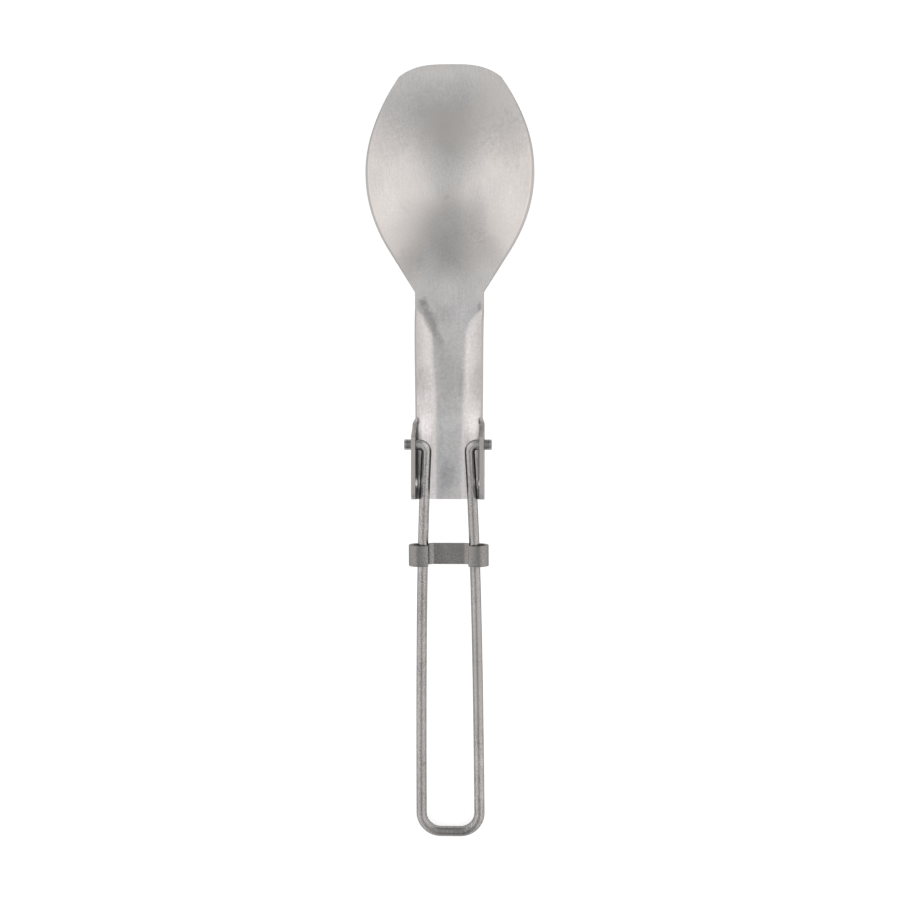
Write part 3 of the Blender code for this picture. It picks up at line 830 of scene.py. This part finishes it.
def wire_route():
    """Points along the wire's middle, from one end through the loop to the other."""
    bend_x = leg_half_spacing(PIVOT_BEND_RADIUS) + PIVOT_BEND_RADIUS
    loop_start = HANDLE_REACH - LOOP_CORNER_RADIUS
    corner_x = leg_half_spacing(loop_start) - LOOP_CORNER_RADIUS
    half = [(WIRE_END_HALF_SPAN, 0.0)]
    for angle in spaced(0.0, math.pi / 2, BEND_STEPS):
        x = bend_x - PIVOT_BEND_RADIUS * math.sin(angle)
        half.append((x, PIVOT_BEND_RADIUS * (math.cos(angle) - 1.0)))
    for distance in spaced(PIVOT_BEND_RADIUS, loop_start, LEG_STEPS):
        half.append((leg_half_spacing(distance), -distance))
    for angle in spaced(0.0, math.pi / 2, BEND_STEPS) + [math.pi / 2]:
        x = corner_x + LOOP_CORNER_RADIUS * math.cos(angle)
        half.append((x, -loop_start - LOOP_CORNER_RADIUS * math.sin(angle)))
    return half + [(-x, y) for x, y in reversed(half)]


def make_handle():
    curve = bpy.data.curves.new("wire_loop", "CURVE")
    curve.dimensions = "3D"
    curve.bevel_depth = WIRE_RADIUS
    curve.bevel_resolution = WIRE_BEVEL_RESOLUTION
    curve.use_fill_caps = True
    route = wire_route()
    spline = curve.splines.new("POLY")
    spline.points.add(len(route) - 1)
    for point, (x, y) in zip(spline.points, route):
        point.co = (x, y, 0, 1)
    spline.use_smooth = True
    handle = bpy.data.objects.new("wire_loop", curve)
    bpy.context.scene.collection.objects.link(handle)
    weld = handle.modifiers.new("weld", "WELD")
    weld.merge_threshold = MERGE_DISTANCE
    add_edge_rounding(handle, WIRE_END_ROUNDING)
    # The wire's marks are mostly painted shade and painted highlights
    curve.materials.append(worn_metal("bare_wire", marks=WIRE_MARKS_AND_PAINTED_LIGHT, **WIRE_METAL))
    handle = settled(handle)
    handle.data.transform(HANDLE_PLACE)
    add_even_normals(handle)
    return handle


# Lock slider, in the handle's frame: X across, Z out of the plane of the wire
def slider_profile():
    """The middle of the sheet, from the bridge below the legs, round a leg, to the free lip above it."""
    roll_radius = WIRE_RADIUS + SLIDER_CLEARANCE + SLIDER_SHEET / 2
    roll_middle = SLIDER_HALF_LENGTH - SLIDER_SHEET / 2 - roll_radius
    lip_radius = LIP_REACH / math.sin(LIP_ANGLE)
    half = [(x, -roll_radius - BRIDGE_DROP) for x in spaced(0.0, BRIDGE_HALF_LENGTH, BRIDGE_MIDDLE_STEPS)]
    for share in spaced(0.0, 1.0, BRIDGE_STEPS) + [1.0]:
        x = BRIDGE_HALF_LENGTH + BRIDGE_STEP_LENGTH * share
        half.append((x, -roll_radius - BRIDGE_DROP * (1.0 - smooth_step(share))))
    for angle in spaced(-math.pi / 2, math.pi / 2, ROLL_STEPS) + [math.pi / 2]:
        half.append((roll_middle + roll_radius * math.cos(angle), roll_radius * math.sin(angle)))
    for angle in spaced(0.0, LIP_ANGLE, LIP_STEPS)[1:] + [LIP_ANGLE]:
        across = roll_middle - lip_radius * math.sin(angle)
        half.append((across, roll_radius - lip_radius * (1.0 - math.cos(angle))))
    return [(-x, z) for x, z in reversed(half[1:])] + half


def make_slider():
    form = bmesh.new()
    edges = spaced(SLIDER_WIDTH / 2, -SLIDER_WIDTH / 2, SLIDER_WIDTH_STEPS) + [-SLIDER_WIDTH / 2]
    rows = [[form.verts.new((x, y, z)) for x, z in slider_profile()] for y in edges]
    for front, rear in zip(rows, rows[1:]):
        for place in range(len(front) - 1):
            form.faces.new((front[place], rear[place], rear[place + 1], front[place + 1]))
    slider = object_from_bmesh("rolled_slider", form)
    sheet = slider.modifiers.new("sheet", "SOLIDIFY")
    sheet.thickness = SLIDER_SHEET
    sheet.offset = 0.0
    sheet.use_even_offset = True
    add_edge_rounding(slider, SLIDER_EDGE_ROUNDING)
    slider.data.materials.append(worn_metal("dark_titanium", **SLIDER_METAL))
    slider = settled(slider)
    slider.data.transform(HANDLE_PLACE @ Matrix.Translation((0, -SLIDER_FROM_PIVOT, 0)))
    add_even_normals(slider)
    return slider


# Studio
def make_floor():
    form = bmesh.new()
    bmesh.ops.create_grid(form, x_segments=1, y_segments=1, size=FLOOR_SIZE / 2)
    floor = object_from_bmesh("floor", form)
    floor.location.z = -FLOOR_GAP
    material = bpy.data.materials.new("white_floor")
    material.use_nodes = True
    shader = material.node_tree.nodes["Principled BSDF"]
    shader.inputs["Base Color"].default_value = grey(FLOOR_SHADE)
    shader.inputs["Roughness"].default_value = FLOOR_ROUGHNESS
    shader.inputs["Emission Color"].default_value = grey(1.0)
    shader.inputs["Emission Strength"].default_value = FLOOR_GLOW
    floor.data.materials.append(material)


def make_studio():
    """The tent: its brightness depends on the direction in which it is seen from the spoon."""
    world = bpy.data.worlds.new("light_tent")
    world.use_nodes = True
    tree = world.node_tree
    direction = add_node(tree, "ShaderNodeTexCoord").outputs["Generated"]
    direction = add_node(tree, "ShaderNodeSeparateXYZ", {"Vector": direction}).outputs
    across = math_node(tree, "ABSOLUTE", direction["X"])
    sides = remap(tree, across, 0.0, TENT_SIDES_FULL_SHARE, 0.0, 1.0, soft=True)
    top = remap(tree, direction["Z"], TENT_TOP_START_SHARE, 1.0, 0.0, 1.0, soft=True)
    added = weighted_sum(tree, (sides, TENT_SIDES_BRIGHTNESS), (top, TENT_TOP_BRIGHTNESS))
    colour = mixed(tree, sides, grey(1.0), TENT_SIDES_COLOUR)
    background = tree.nodes["Background"]
    tree.links.new(colour, background.inputs["Color"])
    tree.links.new(math_node(tree, "ADD", added, TENT_BRIGHTNESS), background.inputs["Strength"])
    bpy.context.scene.world = world


def make_camera():
    """The camera looks down at the spoon, with the tip of the bowl at the top of the picture."""
    target = Vector(VIEW_TARGET)
    distance = VIEW_WIDTH * CAMERA_LENS / CAMERA_SENSOR
    camera = bpy.data.objects.new("camera", bpy.data.cameras.new("camera"))
    camera.data.lens = CAMERA_LENS
    camera.data.sensor_width = CAMERA_SENSOR
    camera.location = target + distance * Vector((math.sin(VIEW_LEAN), 0.0, math.cos(VIEW_LEAN)))
    camera.rotation_euler = (0.0, VIEW_LEAN, VIEW_TURN)
    bpy.context.scene.collection.objects.link(camera)
    bpy.context.scene.camera = camera


def main():
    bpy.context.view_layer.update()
    make_camera()
    pieces = (
        (make_head(), "head", "spoon_head", "brushed_titanium"),
        (make_handle(), "handle", "wire_handle", "bare_wire"),
        (make_slider(), "slider", "lock_slider", "dark_titanium"),
    )
    for piece, body, node, slot in pieces:
        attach(piece, body)
        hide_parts(node)
    make_floor()
    make_studio()
    bpy.context.scene.view_settings.view_transform = "Standard"


main()
